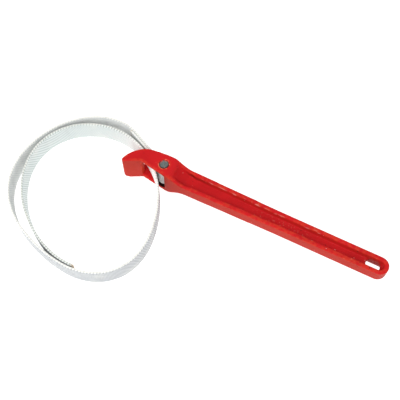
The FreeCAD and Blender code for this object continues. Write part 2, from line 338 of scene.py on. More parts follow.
class Enamel(Finish):
    """Brushed-on enamel over a sand casting, with painted shade on upright faces, in hollows and in the
    head's slot, and lighter worn edges that also carry painted highlights.
    """

    def __init__(self, colour):
        super().__init__("red_enamel")
        self.spot = self.place()
        self.x, self.y, self.z = self.parts(self.spot)
        self.from_pin = (self.x * self.x + self.y * self.y).root()
        self.edge = self.attribute("edge")
        self.shelter = self.attribute("shelter")
        self.upright = self.attribute("upright")
        self.patches = self.noise(self.spot, 38.0, 3.0)
        self.coarse = self.noise(self.spot, 210.0, 3.0)
        self.fine = self.noise(self.spot, 900.0, 2.0)
        self.base = self.mix(self.patches.step(0.35, 0.7), colour, darker(colour, 0.87))
        # darker red for sheltered hollows: painted shade
        self.hollow = darker(colour, 0.42)

    def cover(self, amount, colour):
        """Lay another colour over the base as far as the amount goes."""
        self.base = self.mix(amount, self.base, colour)

    def paint_shading(self):
        """Painted shade on upright faces and in sheltered hollows, and a lighter coat along edges that is
        partly worn enamel and partly painted highlight.
        """
        # upright faces get a darker red: painted shade where less light falls on the sides
        self.cover(self.upright.step(0.45, 0.95) * 0.75, SHADED_SIDE_ENAMEL)
        # sheltered hollows get a darker red: painted shade from the ray-cast shelter
        self.cover(self.shelter.step(0.25, 0.9) * 0.6, self.hollow)
        # lighter dashes along convex edges: partly worn, thinner enamel and partly painted highlight on the
        # rounded edges
        thinned_and_highlit = self.edge.step(0.18, 0.55) * self.coarse.step(0.40, 0.62)
        self.cover(thinned_and_highlit * 0.5, EDGE_HIGHLIGHT_ENAMEL)

    def shade_slot(self):
        """Painted shade between the cheeks, and a painted shadow on the lower cheek under the strap's eye.
        """
        level = (self.z - HEAD_MIDDLE).size()
        inside = level.step(12.6 * MM, 12.0 * MM) * self.from_pin.step(60 * MM, 40 * MM)
        # inside the slot and sheltered: painted shade between the cheeks
        self.cover(inside * self.shelter.step(0.3, 0.6) * 0.7, SLOT_SHADE)
        # near-black ring on the lower cheek round the pin: painted shadow under the strap's eye
        low = self.z.step(8 * MM, 6 * MM) * self.z.step(4.2 * MM, 4.7 * MM)
        self.cover(self.from_pin.step(11.3 * MM, 10.3 * MM) * low * 0.96, EYE_SHADOW)

    def split_round_pin(self):
        """Driving the pin in has split the coat in a narrow broken ring on the flat of the cheek. The
        ring's lighter orange is also a painted highlight round the pin.
        """
        ring = self.from_pin.step(6.6 * MM, 6.0 * MM) * self.from_pin.step(5.2 * MM, 5.5 * MM)
        flat = self.upright.step(0.6, 0.3)
        # lighter broken ring: split enamel and painted highlight
        self.cover(ring * self.coarse.step(0.50, 0.56) * flat * 0.8, SPLIT_AND_HIGHLIT_ENAMEL)

    def glint_and_scuff_channel(self):
        """Painted highlights in dashes along the channel's inner edges, and scuffed flecks on part of its
        floor.
        """
        streaks = self.noise(self.stretched(self.spot, (0.3, 1.0, 1.0)), 620.0, 2.0)
        border = (self.y.size() + self.x * CHANNEL_TAPER).step(8.3 * MM, 7.6 * MM)
        inner = border * self.edge.step(0.20, 0.38) * self.x.step(16 * MM, 24 * MM)
        # pale dashes on the channel's inner edges: painted highlight
        self.cover(inner * streaks.step(0.52, 0.60) * self.patches.step(0.42, 0.56) * 0.62, RIM_GLINT_ENAMEL)
        along = (self.x - SCUFF_MIDDLE).size().step(36 * MM, 30 * MM)
        floor = along * self.y.size().step(3.4 * MM, 2.8 * MM) * self.shelter.step(0.2, 0.3)
        flecks = self.noise(self.spot, 520.0, 2.0).step(0.60, 0.66)
        self.cover(floor * flecks * 0.45, SCUFFED_ENAMEL)

    def mark_all_over(self):
        """Chipped edges, pale specks and pits. It returns the chips and the pits."""
        chips = self.edge.step(0.4, 0.7) * self.coarse.step(0.66, 0.70) * self.patches.step(0.54, 0.60)
        self.cover(chips * 0.45, CHIPPED_ENAMEL)
        self.cover(self.noise(self.spot, 330.0, 1.0).step(0.765, 0.80) * 0.7, DUST_SPECK)
        pits = self.noise(self.stretched(self.spot, (1.0, 1.0, 1.3)), 260.0, 1.0).step(0.26, 0.21)
        self.cover(pits * 0.8, PIT_SHADE)
        return chips, pits


def red_enamel():
    finish = Enamel(tuple(settings().handle.colour))
    finish.paint_shading()
    finish.shade_slot()
    finish.split_round_pin()
    finish.glint_and_scuff_channel()
    chips, pits = finish.mark_all_over()
    height = finish.coarse * 0.6 + finish.fine * 0.25 - pits * 0.6
    return finish.surface(
        Base_Color=finish.base, Roughness=0.30 + 0.16 * finish.patches + 0.1 * finish.fine + 0.2 * chips,
        Normal=finish.bump(height, 0.12 * MM, 0.6), Specular_IOR_Level=0.05, Coat_Weight=0.03,
        Coat_Roughness=0.12, Metallic=0.0)


# The pin's steel, and the stain and the enamel that have run in round its ends
PALE_STEEL = (0.18, 0.205, 0.20)
DARK_STEEL = (0.11, 0.13, 0.125)
FILED_STEEL = (0.40, 0.42, 0.40)
RIM_STAIN = (0.055, 0.055, 0.05)
SMEARED_ENAMEL = (0.62, 0.05, 0.03)


def bare_steel():
    """The pin's dressed ends: dull grey steel with file marks, a stained rim and spots of enamel."""
    finish = Finish("bare_steel")
    place = finish.place()
    rim = finish.attribute("rim")
    strokes = finish.noise(finish.stretched(place, (9.0, 1.0, 1.0)), 420.0, 3.0)
    mottle = finish.noise(place, 520.0, 3.0)
    base = finish.mix(mottle.step(0.35, 0.7), PALE_STEEL, DARK_STEEL)
    base = finish.mix(strokes.step(0.5, 0.75) * 0.4, base, FILED_STEEL)
    base = finish.mix(rim.step(0.72, 0.98), base, RIM_STAIN)
    paint = rim.step(0.6, 0.9) * finish.noise(place, 300.0, 2.0).step(0.58, 0.62)
    base = finish.mix(paint, base, SMEARED_ENAMEL)
    return finish.surface(
        Base_Color=base, Metallic=0.75 - 0.7 * paint, Roughness=0.42 + 0.2 * mottle,
        Normal=finish.bump(strokes + mottle * 0.6, 0.08 * MM, 0.5))


# The inner face of the loose tail, in painted shade: colours of a rib and of the groove beside it
SHADED_TAIL_FACE = ((0.74, 0.80, 0.79), (0.36, 0.43, 0.42))

# The strap's outer face is darker than its inner one, as painted shade: colours of a rib and of the groove
# beside it
SHADED_OUTER_FACE = ((0.56, 0.58, 0.60), (0.17, 0.19, 0.21))

YELLOWED = (0.80, 0.80, 0.74)
GRUBBY_BORDER = (0.80, 0.74, 0.62)
SCORCHED = (0.42, 0.31, 0.20)

# Two sets of fine threads cross the strap slantwise. These set how close together each lies
THREAD_PITCH = 1.15 * MM
CROSS_PITCH = 0.8 * MM


def webbing_cloth():
    """White polyester webbing: raised diagonal ribs, finer threads across them and darker edges, with
    painted shade in the grooves between the ribs, on the outer face and on the tail's inner face.
    """
    finish = Finish("webbing")
    colour = tuple(settings().webbing.colour)
    weave = finish.attribute("weave", "Vector")
    along, across, soil = finish.parts(weave)
    rib = finish.attribute("rib")
    outer = finish.attribute("outer")
    thread = ((along * 2.0 - across * 3.0) * (2 * math.pi / THREAD_PITCH)).sine()
    cross = ((along + across * 0.9) * (2 * math.pi / CROSS_PITCH)).sine()
    uneven = finish.noise(weave, 55.0, 3.0)
    fuzz = finish.noise(weave, 2600.0, 2.0)
    # grooves between the ribs darker than the ribs: painted shade
    base = finish.mix(rib.step(0.75, 0.1), colour, darker(colour, 0.78, 0.81, 0.82))
    # greenish-grey on the tail's inner face: painted shade
    shaded_tail = along.step(0.50, 0.56) * (1.0 - outer)
    base = finish.mix(shaded_tail, base, finish.mix(rib.step(0.75, 0.1), *SHADED_TAIL_FACE))
    # darker outer face: painted shade
    outer_shade = outer * along.step(-0.03, -0.02) * 0.9
    base = finish.mix(outer_shade, base, finish.mix(rib.step(0.8, 0.15), *SHADED_OUTER_FACE))
    base = finish.mix(uneven.step(0.45, 0.8) * 0.35, base, YELLOWED)
    border = (across.size() - STRAP_WIDTH / 2 + 1.1 * MM).step(0.0, 0.9 * MM)
    base = finish.mix(border * 0.35, base, GRUBBY_BORDER)
    base = finish.mix(soil * 0.9, base, SCORCHED)
    height = thread * 0.35 + cross * 0.25 + fuzz * 0.6
    return finish.surface(
        Base_Color=base, Roughness=0.72 + 0.16 * fuzz, Normal=finish.bump(height, 0.07 * MM, 0.7),
        Sheen_Weight=0.25, Sheen_Roughness=0.5, Subsurface_Weight=0.5,
        Subsurface_Radius=(1.0, 1.0, 1.0), Subsurface_Scale=3 * MM)


def sewing_thread():
    """Twisted polyester thread."""
    finish = Finish("thread")
    place = finish.place()
    twist = finish.noise(finish.stretched(place, (1.0, 1.6, 2.2)), 2400.0, 2.0)
    soft = finish.noise(place, 160.0, 2.0)
    base = finish.mix(twist.step(0.35, 0.65), (0.66, 0.65, 0.60), (0.86, 0.86, 0.83))
    base = finish.mix(soft * 0.3, base, (0.72, 0.66, 0.54))
    return finish.surface(
        Base_Color=base, Roughness=0.6 + 0.2 * twist, Normal=finish.bump(twist, 0.1 * MM, 0.8),
        Sheen_Weight=0.2)


def pale_floor():
    """A seamless white studio sheet with the faintest mottling."""
    finish = Finish("floor")
    cloud = finish.noise(finish.place(), 3.0, 2.0)
    base = finish.mix(cloud * 0.4, (0.52, 0.52, 0.52), (0.48, 0.48, 0.48))
    return finish.surface(
        Base_Color=base, Roughness=0.9, Emission_Color=(1.0, 1.0, 1.0, 1.0), Emission_Strength=0.85)


# ---------------------------------------------------------------- meshes

def new_object(name, mesh):
    thing = bpy.data.objects.new(name, mesh)
    bpy.context.scene.collection.objects.link(thing)
    return thing


def mesh_from(name, points, faces, smooth=True):
    mesh = bpy.data.meshes.new(name)
    mesh.from_pydata([tuple(p) for p in points], [], faces)
    mesh.polygons.foreach_set("use_smooth", [smooth] * len(mesh.polygons))
    mesh.update()
    return mesh


def keep_numbers(mesh, name, values):
    """Store one number for each point of the mesh."""
    attribute = mesh.attributes.new(name, "FLOAT", "POINT")
    attribute.data.foreach_set("value", np.asarray(values, np.float32))


def keep_vectors(mesh, name, values):
    """Store one vector for each point of the mesh."""
    attribute = mesh.attributes.new(name, "FLOAT_VECTOR", "POINT")
    attribute.data.foreach_set("vector", np.asarray(values, np.float32).ravel())


def points_of(mesh):
    co = np.empty(len(mesh.vertices) * 3)
    mesh.vertices.foreach_get("co", co)
    return co.reshape(-1, 3)


def normals_of(mesh):
    no = np.empty(len(mesh.vertices) * 3)
    mesh.vertices.foreach_get("normal", no)
    return no.reshape(-1, 3)


def edges_of(mesh):
    ends = np.empty(len(mesh.edges) * 2, dtype=np.int64)
    mesh.edges.foreach_get("vertices", ends)
    return ends.reshape(-1, 2)


def mean_of_neighbours(values, edges):
    """The mean of each point's neighbours along the edges."""
    total = np.zeros_like(values)
    count = np.zeros(len(values))
    for a, b in ((0, 1), (1, 0)):
        np.add.at(total, edges[:, a], values[edges[:, b]])
        np.add.at(count, edges[:, a], 1.0)
    return total / np.maximum(count, 1.0).reshape((-1,) + (1,) * (values.ndim - 1))


def smoothed(values, edges, times, share=0.5):
    """The values after moving so many times by this share towards the mean of their neighbours."""
    for _ in range(times):
        values = values + (mean_of_neighbours(values, edges) - values) * share
    return values


def move_points(mesh, co):
    mesh.vertices.foreach_set("co", co.ravel())
    mesh.update()


def relax(mesh, times):
    """Draw every point towards its neighbours, which rounds edges and corners."""
    move_points(mesh, smoothed(points_of(mesh), edges_of(mesh), times))


def sharpness(mesh, reach, softening):
    """How far each point stands out of its surroundings (positive) or lies in a hollow (negative)."""
    edges = edges_of(mesh)
    co = points_of(mesh)
    rise = np.einsum("ij,ij->i", co - smoothed(co, edges, softening), normals_of(mesh))
    return smoothed(rise / reach, edges, 2)


def shelter(mesh, reach, rays):
    """How much of the space in front of each point is closed off by the mesh itself, from 0 to 1."""
    tree = BVHTree.FromPolygons([v.co for v in mesh.vertices], [p.vertices for p in mesh.polygons])
    golden_turn = math.pi * (3 - math.sqrt(5))
    hidden = np.zeros(len(mesh.vertices))
    for number, vertex in enumerate(mesh.vertices):
        normal = vertex.normal
        start = vertex.co + normal * (0.3 * MM)
        across = normal.orthogonal().normalized()
        other = normal.cross(across)
        for ray in range(rays):
            lean = math.sqrt((ray + 0.5) / rays)
            angle = golden_turn * (ray + number)
            flat = across * math.cos(angle) + other * math.sin(angle)
            way = flat * lean + normal * math.sqrt(1 - lean * lean)
            if tree.ray_cast(start, way, reach)[0] is not None:
                hidden[number] += 1 / rays
    return smoothed(hidden, edges_of(mesh), 4)


# ---------------------------------------------------------------- handle

def copy_of_node(node, name):
    """A separate mesh of a CAD node with its doubled points merged."""
    mesh = frame["nodes"][node].data.copy()
    mesh.name = name
    shape = bmesh.new()
    shape.from_mesh(mesh)
    bmesh.ops.remove_doubles(shape, verts=shape.verts, dist=0.005 * MM)
    shape.to_mesh(mesh)
    shape.free()
    mesh.materials.clear()
    return mesh


def plain_mesh(thing):
    """The object's mesh with its modifiers applied."""
    depsgraph = bpy.context.evaluated_depsgraph_get()
    mesh = bpy.data.meshes.new_from_object(thing.evaluated_get(depsgraph))
    thing.modifiers.clear()
    thing.data = mesh
    return mesh


def soften(mesh, place, reach, times):
    """Relax the mesh further round one place, and less and less towards the edge of its reach."""
    edges = edges_of(mesh)
    co = points_of(mesh)
    distance = np.linalg.norm(co - np.array(place), axis=1)
    weight = np.clip(1.5 - 1.5 * distance / reach, 0, 1)[:, None] * 0.5
    near = distance < reach + 2 * MM
    edges = edges[near[edges[:, 0]] & near[edges[:, 1]]]
    move_points(mesh, smoothed(co, edges, times, weight))


# The lengths of the waves that the sand mould leaves, in millimetres
SAND_WAVES = (11.0, 7.0, 4.6, 3.1, 2.2)
WAVES_OF_EACH = 4
SAND_SEED = 7


def sand_height(co, size):
    """Low waves of several lengths and directions, as a sand mould leaves them."""
    height = np.zeros(len(co))
    random = np.random.default_rng(SAND_SEED)
    for wavelength in SAND_WAVES:
        for _ in range(WAVES_OF_EACH):
            direction = random.normal(size=3)
            direction /= np.linalg.norm(direction)
            phase = random.uniform(0, 2 * math.pi)
            height += np.sin(co @ direction * (2 * math.pi / (wavelength * MM)) + phase) * wavelength
    return height / np.abs(height).max() * size


# The nose's lower corner, which is blunter than the other edges
NOSE_CORNER = (HEAD_LOW.x + 0.3 * MM, -14.0 * MM, HEAD_LOW.z)

# Where each channel starts: along the shank, and above and below the head's middle
CHANNEL_START = 26 * MM
CHANNEL_LEVEL = 8 * MM


def round_off(mesh, times):
    """Round every edge, and the nose's corner and the channels' starts further."""
    relax(mesh, times)
    soften(mesh, NOSE_CORNER, reach=7 * MM, times=60)
    for height in (HEAD_MIDDLE - CHANNEL_LEVEL, HEAD_MIDDLE + CHANNEL_LEVEL):
        soften(mesh, (CHANNEL_START, 0.0, height), reach=13 * MM, times=40)


def make_casting():
    """Round the frame's hard-edged casting off as sand casting and enamel do."""
    look = settings().handle
    thing = new_object("cast_handle", copy_of_node("handle_casting", "cast_handle"))
    remesh = thing.modifiers.new("cells", "REMESH")
    remesh.mode = "VOXEL"
    remesh.voxel_size = look.grain
    mesh = plain_mesh(thing)
    round_off(mesh, look.rounding)
    co = points_of(mesh)
    move_points(mesh, co + normals_of(mesh) * sand_height(co, look.sand)[:, None])
    mesh.polygons.foreach_set("use_smooth", [True] * len(mesh.polygons))
    keep_numbers(mesh, "edge", sharpness(mesh, reach=0.35 * MM, softening=14))
    # upright and shelter drive the enamel's painted shade on side faces and in hollows
    keep_numbers(mesh, "upright", 1 - np.abs(normals_of(mesh)[:, 2]))
    keep_numbers(mesh, "shelter", shelter(mesh, reach=25 * MM, rays=14))
    mesh.materials.append(red_enamel())
    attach(thing, "handle")
    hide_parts("handle_casting")


# ---------------------------------------------------------------- pin

def lathe(profile, turns):
    """Points and faces of a closed solid turned about the Z axis, from a profile of (radius, height)."""
    points = []
    faces = []
    for radius, height in profile:
        for i in range(turns):
            angle = 2 * math.pi * i / turns
            points.append((radius * math.cos(angle), radius * math.sin(angle), height))
    for row in range(len(profile) - 1):
        for i in range(turns):
            j = (i + 1) % turns
            low, high = row * turns, (row + 1) * turns
            faces.append((low + i, low + j, high + j, high + i))
    for row, order in ((0, -1), (len(profile) - 1, 1)):
        centre = len(points)
        points.append((0.0, 0.0, profile[row][1]))
        for i in range(turns):
            pair = (row * turns + i, row * turns + (i + 1) % turns)[::order]
            faces.append(pair + (centre,))
    return points, faces


# The pin's ends: rings from the middle out, as shares of its radius, and how the rim is rolled over
END_RINGS = (0.12, 0.3, 0.5, 0.68, 0.8, 0.88)
END_HOLLOW = 0.02 * MM
RIM_RADIUS = 0.45 * MM
RIM_STEPS = 5
PIN_SIDES = 64


def pin_profile():
    """Half the pin's outline: flat dressed ends that are rolled over at the rim."""
    low, high = PIN_LOW.z, PIN_HIGH.z
    profile = [(PIN_RADIUS * share, low + END_HOLLOW) for share in END_RINGS]
    for i in range(RIM_STEPS + 1):
        turn = math.pi / 2 * i / RIM_STEPS
        profile.append((PIN_RADIUS - RIM_RADIUS * (1 - math.sin(turn)),
                        low + RIM_RADIUS * (1 - math.cos(turn))))
    middle = (low + high) / 2
    upper = [(radius, 2 * middle - height) for radius, height in profile[::-1]]
    return profile + [(PIN_RADIUS, middle)] + upper


def make_pin():
    """The cross pin, with its two dressed ends."""
    points, faces = lathe(pin_profile(), PIN_SIDES)
    mesh = mesh_from("cross_pin", points, faces)
    thing = new_object("cross_pin", mesh)
    radius = np.linalg.norm(points_of(mesh)[:, :2], axis=1)
    keep_numbers(mesh, "rim", radius / PIN_RADIUS)
    mesh.materials.append(bare_steel())
    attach(thing, "handle")
    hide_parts("strap_pin")


# ---------------------------------------------------------------- webbing

class Route:
    """A line in plan made of straight runs and arcs, which are given as (length, turn to the left)."""

    def __init__(self, start, heading, runs):
        self.marks = []
        point = np.array(start, float)
        gone = 0.0
        for length, turn in runs:
            self.marks.append((gone, length, turn, point, heading))
            point = point + self.step(heading, length, turn)
            heading += turn
            gone += length
        self.length = gone

    @staticmethod
    def step(heading, length, turn):
        """Where an arc of this length and turn ends, from where it starts."""
        half = turn / 2
        chord = length * (math.sin(half) / half if abs(half) > 1e-9 else 1.0)
        return chord * np.array((math.cos(heading + half), math.sin(heading + half)))

    def at(self, distance):
        """The point and the heading at this distance along the route."""
        for gone, length, turn, point, heading in self.marks:
            if distance <= gone + length:
                break
        share = (distance - gone) / length
        return point + self.step(heading, length * share, turn * share), heading + turn * share


def hinge_points():
    """The plan positions of the strap's hinges, in order along it."""
    return [np.array(joint["pos_m"][:2]) for joint in BENDS]


def sewn_heading(first_hinge, half_thickness):
    """The direction in which the sewn part leaves the pin: it passes half a layer beside the hinge."""
    run = math.sqrt(first_hinge @ first_hinge - half_thickness * half_thickness)
    return math.atan2(first_hinge[1], first_hinge[0]) + math.atan(half_thickness / run), run


# How far the last stretch turns, which has no hinge after it
TIP_TURN = math.radians(19)

# How the two layers part before they go round the pin, and the eye's play on it
NECK_TURN = math.radians(16.8)
NECK_RADIUS = 12 * MM
EYE_PLAY = 0.08 * MM


def strap_runs():
    """The strap from the hinge at the sewn part to its tip: one arc for each stretch of the frame."""
    hinges = hinge_points()
    heading, _ = sewn_heading(hinges[0], settings().webbing.thickness / 2)
    runs = []
    for start, end in zip(hinges, hinges[1:]):
        chord = end - start
        turn = 2 * ((math.atan2(chord[1], chord[0]) - heading + math.pi) % (2 * math.pi) - math.pi)
        length = np.linalg.norm(chord) * (turn / 2) / math.sin(turn / 2)
        runs.append((length, turn))
        heading += turn
    return runs + [(runs[-1][0], TIP_TURN)]


def whole_route():
    """The strap's middle line from the sewn layer's end, round the pin and along the whole loop.

    It returns the route and the distance along it of the first hinge.
    """
    cloth = settings().webbing
    half = cloth.thickness / 2
    runs = strap_runs()
    first = hinge_points()[0]
    heading, run = sewn_heading(first, half)
    bend = runs[0][0] / runs[0][1]
    inner_bend = bend - cloth.thickness
    fold_turn = cloth.folded_end / bend
    around = PIN_RADIUS + EYE_PLAY + half
    neck_sine, neck_cosine = math.sin(NECK_TURN), math.cos(NECK_TURN)
    drop = around * neck_cosine - half - NECK_RADIUS * (1 - neck_cosine)
    slope = drop / neck_sine
    neck_end = around * neck_sine + slope * neck_cosine + NECK_RADIUS * neck_sine
    neck = [(NECK_RADIUS * NECK_TURN, -NECK_TURN), (slope, 0.0)]
    straight = [(run - neck_end, 0.0)]
    about_pin = [(around * (math.pi + 2 * NECK_TURN), math.pi + 2 * NECK_TURN)]
    eye = [(inner_bend * fold_turn, -fold_turn)] + straight + neck + about_pin + neck[::-1] + straight
    left = np.array((-math.sin(heading), math.cos(heading)))
    ahead = np.array((math.cos(heading), math.sin(heading)))
    inner_hinge = first + left * cloth.thickness
    start = (inner_hinge + left * inner_bend * (1 - math.cos(fold_turn))
             + ahead * inner_bend * math.sin(fold_turn))
    route = Route(start, heading + fold_turn + math.pi, eye + runs)
    return route, sum(length for length, _ in eye)


# How far a rib runs along the strap as it crosses it, and how full its top is
RIB_SLANT = 0.55
RIB_FULLNESS = 0.7

# The selvedge: its width, how fast it takes over from the ribs, and its beads' pitch in rib pitches
SELVEDGE_WIDTH = 2.6 * MM
SELVEDGE_STEP = 0.8 * MM
BEAD_PITCH = 1.4

# The webbing is made a little slimmer than the frame's strap, so that its ribs stay within it
EASE_THROUGH = 0.1 * MM
EASE_ACROSS = 0.6 * MM

# The sealed tip: how much thinner it is pressed, the length that is pressed, the last of it that is
# pressed fully, and how far the scorching goes
TIP_PINCH = 0.35
TIP_PRESSED = 2.5 * MM
TIP_FLAT = 0.3 * MM
TIP_SCORCHED = 3.2 * MM

# The sewn layer's end is scorched less, over a shorter length
FOLD_SCORCHED = 2.2 * MM
FOLD_SCORCHING = 0.8


def rib_wave(along, across, pitch):
    """The height, from 0 to 1, of the slanting ribs of the weave."""
    wave = 0.5 + 0.5 * np.cos((along + across * RIB_SLANT) * (2 * math.pi / pitch))
    return wave ** RIB_FULLNESS


def rib_heights(along, across, kind, pitch):
    """The weave's height, from 0 to 1, round the strap's section: ribs, and beads on the selvedges."""
    rib = rib_wave(along, across * np.where(kind < 0, -1, 1), pitch)
    selvedge = np.clip((np.abs(across) - STRAP_WIDTH / 2 + SELVEDGE_WIDTH) / SELVEDGE_STEP, 0, 1)
    beads = 0.5 + 0.5 * np.cos(along * (2 * math.pi / (pitch * BEAD_PITCH)) + kind)
    return rib * (1 - selvedge) + beads * selvedge


def scorching(distance, to_tip):
    """How far heat has browned the webbing near its two cut ends."""
    at_tip = max(0.0, 1 - to_tip / TIP_SCORCHED)
    return at_tip + max(0.0, 1 - distance / FOLD_SCORCHED) * FOLD_SCORCHING


def section_line(width, thickness, cell):
    """Points round the strap's section as (across, out, kind): two faces joined by rounded edges.

    Kind is 1 on the outer face, -1 on the inner face and 0 on an edge.
    """
    half = thickness / 2
    edge_depth = half * 0.8
    flat = width / 2 - edge_depth
    count = int(round(2 * flat / cell))
    edge_steps = 4
    line = []
    for side in (1, -1):
        for i in range(count + 1):
            line.append((side * (flat - 2 * flat * i / count), side * half, side))
        for i in range(1, edge_steps):
            angle = math.pi * i / edge_steps
            line.append((-side * (flat + edge_depth * math.sin(angle)), side * half * math.cos(angle), 0))
    return line


def end_faces(count, first, turned):
    """Close an end of the strap with strips from one face of its section to the other."""
    faces = []
    for i in range(count // 2 - 1):
        opposite = count - 1 - i
        strip = [first + k for k in (i, i + 1, opposite - 1, opposite)]
        faces.append(tuple(strip[::-1]) if turned else tuple(strip))
    return faces


def tube_faces(count, rows):
    """The faces of a closed tube with so many points to a ring, and its two ends."""
    faces = []
    for row in range(rows):
        low, high = row * count, (row + 1) * count
        for i in range(count):
            j = (i + 1) % count
            faces.append((low + i, low + j, high + j, high + i))
    return faces + end_faces(count, 0, False) + end_faces(count, rows * count, True)


def webbing_mesh(name, route, start, end, zero):
    """One stretch of webbing between two distances along the route, as a closed mesh with raised ribs."""
    cloth = settings().webbing
    thickness = cloth.thickness - EASE_THROUGH - cloth.rib_height
    line = section_line(STRAP_WIDTH - EASE_ACROSS, thickness, cloth.grid_size)
    across, out, kind = np.array(line, float).T
    rows = max(2, int(math.ceil((end - start) / cloth.grid_size)))
    points, weave, ribs = [], [], []
    for row in range(rows + 1):
        distance = start + (end - start) * row / rows
        point, heading = route.at(distance)
        right = np.array((math.sin(heading), -math.cos(heading)))
        along = distance - zero
        to_tip = route.length - TIP_FLAT - distance
        rib = rib_heights(along, across, kind, cloth.rib_pitch)
        pinch = 1 - TIP_PINCH * np.clip(1 - to_tip / TIP_PRESSED, 0, 1)
        offset = (out + np.sign(out) * rib * cloth.rib_height / 2) * pinch
        edge = np.where(kind == 0, rib * cloth.rib_height, 0.0) * np.sign(across)
        points.append(np.column_stack((
            point[0] + right[0] * offset, point[1] + right[1] * offset, STRAP_MIDDLE + across + edge)))
        soil = scorching(distance, to_tip)
        weave.append(np.column_stack((np.full(len(line), along), across, np.full(len(line), soil))))
        ribs.append(rib)
    mesh = mesh_from(name, np.concatenate(points), tube_faces(len(line), rows))
    keep_vectors(mesh, "weave", np.concatenate(weave))
    keep_numbers(mesh, "rib", np.concatenate(ribs))
    keep_numbers(mesh, "outer", np.tile(np.clip(kind, 0, 1), rows + 1))
    return mesh


CRISP_ANGLE = math.radians(60)


def face_outwards(mesh):
    """Turn every face of a closed mesh outwards and keep its ends crisp."""
    shape = bmesh.new()
    shape.from_mesh(mesh)
    bmesh.ops.recalc_face_normals(shape, faces=shape.faces)
    for edge in shape.edges:
        if len(edge.link_faces) == 2 and edge.calc_face_angle(0.0) > CRISP_ANGLE:
            edge.smooth = False
    shape.to_mesh(mesh)
    shape.free()


# Distances to each side of a hinge at which points are worked out, though nothing uses these points.
# Towards the sewn part the distance is shorter
BEND_SPREAD = 9 * MM
SEWN_SPREAD = 1.5 * MM


def make_webbing():
    """The strap, in one piece for each hinge: from the middle of one stretch to the middle of the next."""
    route, zero = whole_route()
    cloth = webbing_cloth()
    stretch = strap_runs()[0][0]
    for number, joint in enumerate(BENDS):
        first = number == 0
        last = number == len(BENDS) - 1
        hinge = zero + stretch * number
        start = 0.0 if first else hinge - stretch / 2
        end = route.length if last else hinge + stretch / 2
        name = joint["child"].replace("strap", "webbing")
        mesh = webbing_mesh(name, route, start, end, zero)
        face_outwards(mesh)
        mesh.materials.append(cloth)
        thing = new_object(name, mesh)
        point, heading = route.at(hinge)
        ahead = np.array((math.cos(heading), math.sin(heading)))
        before = point - ahead * (SEWN_SPREAD if first else BEND_SPREAD)
        after = point + ahead * BEND_SPREAD
        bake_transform(thing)
        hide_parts(joint["child"], *(["strap_eye"] if first else []))
        end - start


# ---------------------------------------------------------------- stitches

# How deep a stitch sits in the webbing, and how uneven its rows are, in radians about each axis
STITCH_SUNK = 0.05 * MM
STITCH_LEAN = (0.03, 0.05, 0.05)
STITCH_SEED = 3


def stitch_shape(length, thread):
    """One raised stitch: a short thread whose two ends dive into the webbing."""
    rings = 9
    sides = 8
    points, faces = [], []
    for ring in range(rings):
        share = ring / (rings - 1)
        along = (share - 0.5) * length
        rise = math.sin(math.pi * share) ** 0.6
        radius = thread / 2 * (0.55 + 0.45 * rise)
        for side in range(sides):
            angle = 2 * math.pi * side / sides
            points.append((along, radius * math.cos(angle) + thread * 0.42 * (rise - 0.6),
                           radius * math.sin(angle)))
    for ring in range(rings - 1):
        for side in range(sides):
            other = (side + 1) % sides
            low, high = ring * sides, (ring + 1) * sides
            faces.append((low + side, low + other, high + other, high + side))
    faces.append(tuple(range(sides))[::-1])
    faces.append(tuple(range((rings - 1) * sides, rings * sides)))
    return points, faces


class Shape(Tree):
    """A geometry node group with named inputs."""

    def __init__(self, name):
        self.group = bpy.data.node_groups.new(name, "GeometryNodeTree")
        super().__init__(self.group)
        self.identifiers = {}
        self.group.interface.new_socket("Geometry", in_out="INPUT", socket_type="NodeSocketGeometry")
        self.group.interface.new_socket("Geometry", in_out="OUTPUT", socket_type="NodeSocketGeometry")

    def add_input(self, name, kind):
        socket = self.group.interface.new_socket(name, in_out="INPUT", socket_type=kind)
        self.identifiers[name] = socket.identifier

    def inputs_node(self):
        return self.tree.nodes.new("NodeGroupInput")

    def finish(self, geometry):
        output = self.tree.nodes.new("NodeGroupOutput")
        self.tree.links.new(geometry.socket, output.inputs[0])


def stitch_group(material):
    """Rows of stitches on one face: a grid of points with a stitch placed at each."""
    shape = Shape("stitch_rows")
    for name, kind in (("Stitch", "NodeSocketObject"), ("Length", "NodeSocketFloat"),
                       ("Width", "NodeSocketFloat"), ("Count", "NodeSocketInt"),
                       ("Rows", "NodeSocketInt")):
        shape.add_input(name, kind)
    given = shape.inputs_node()
    wire = {socket.name: Wire(shape, socket) for socket in given.outputs if socket.name}
    grid = shape.node("GeometryNodeMeshGrid", inputs={
        "Size X": wire["Length"], "Size Y": wire["Width"],
        "Vertices X": wire["Count"], "Vertices Y": wire["Rows"]})
    upright = shape.node("GeometryNodeTransform", inputs={
        "Geometry": grid, "Rotation": (math.pi / 2, 0.0, 0.0)})
    stitch = shape.node("GeometryNodeObjectInfo", inputs={"Object": wire["Stitch"]}, output="Geometry")
    uneven = shape.node("FunctionNodeRandomValue", {"data_type": "FLOAT_VECTOR"}, {
        0: tuple(-lean for lean in STITCH_LEAN), 1: STITCH_LEAN, "Seed": STITCH_SEED})
    placed = shape.node("GeometryNodeInstanceOnPoints", inputs={
        "Points": upright, "Instance": stitch, "Rotation": uneven})
    real = shape.node("GeometryNodeRealizeInstances", inputs={"Geometry": placed})
    shape.finish(shape.node("GeometryNodeSetMaterial", inputs={"Geometry": real, "Material": material}))
    return shape


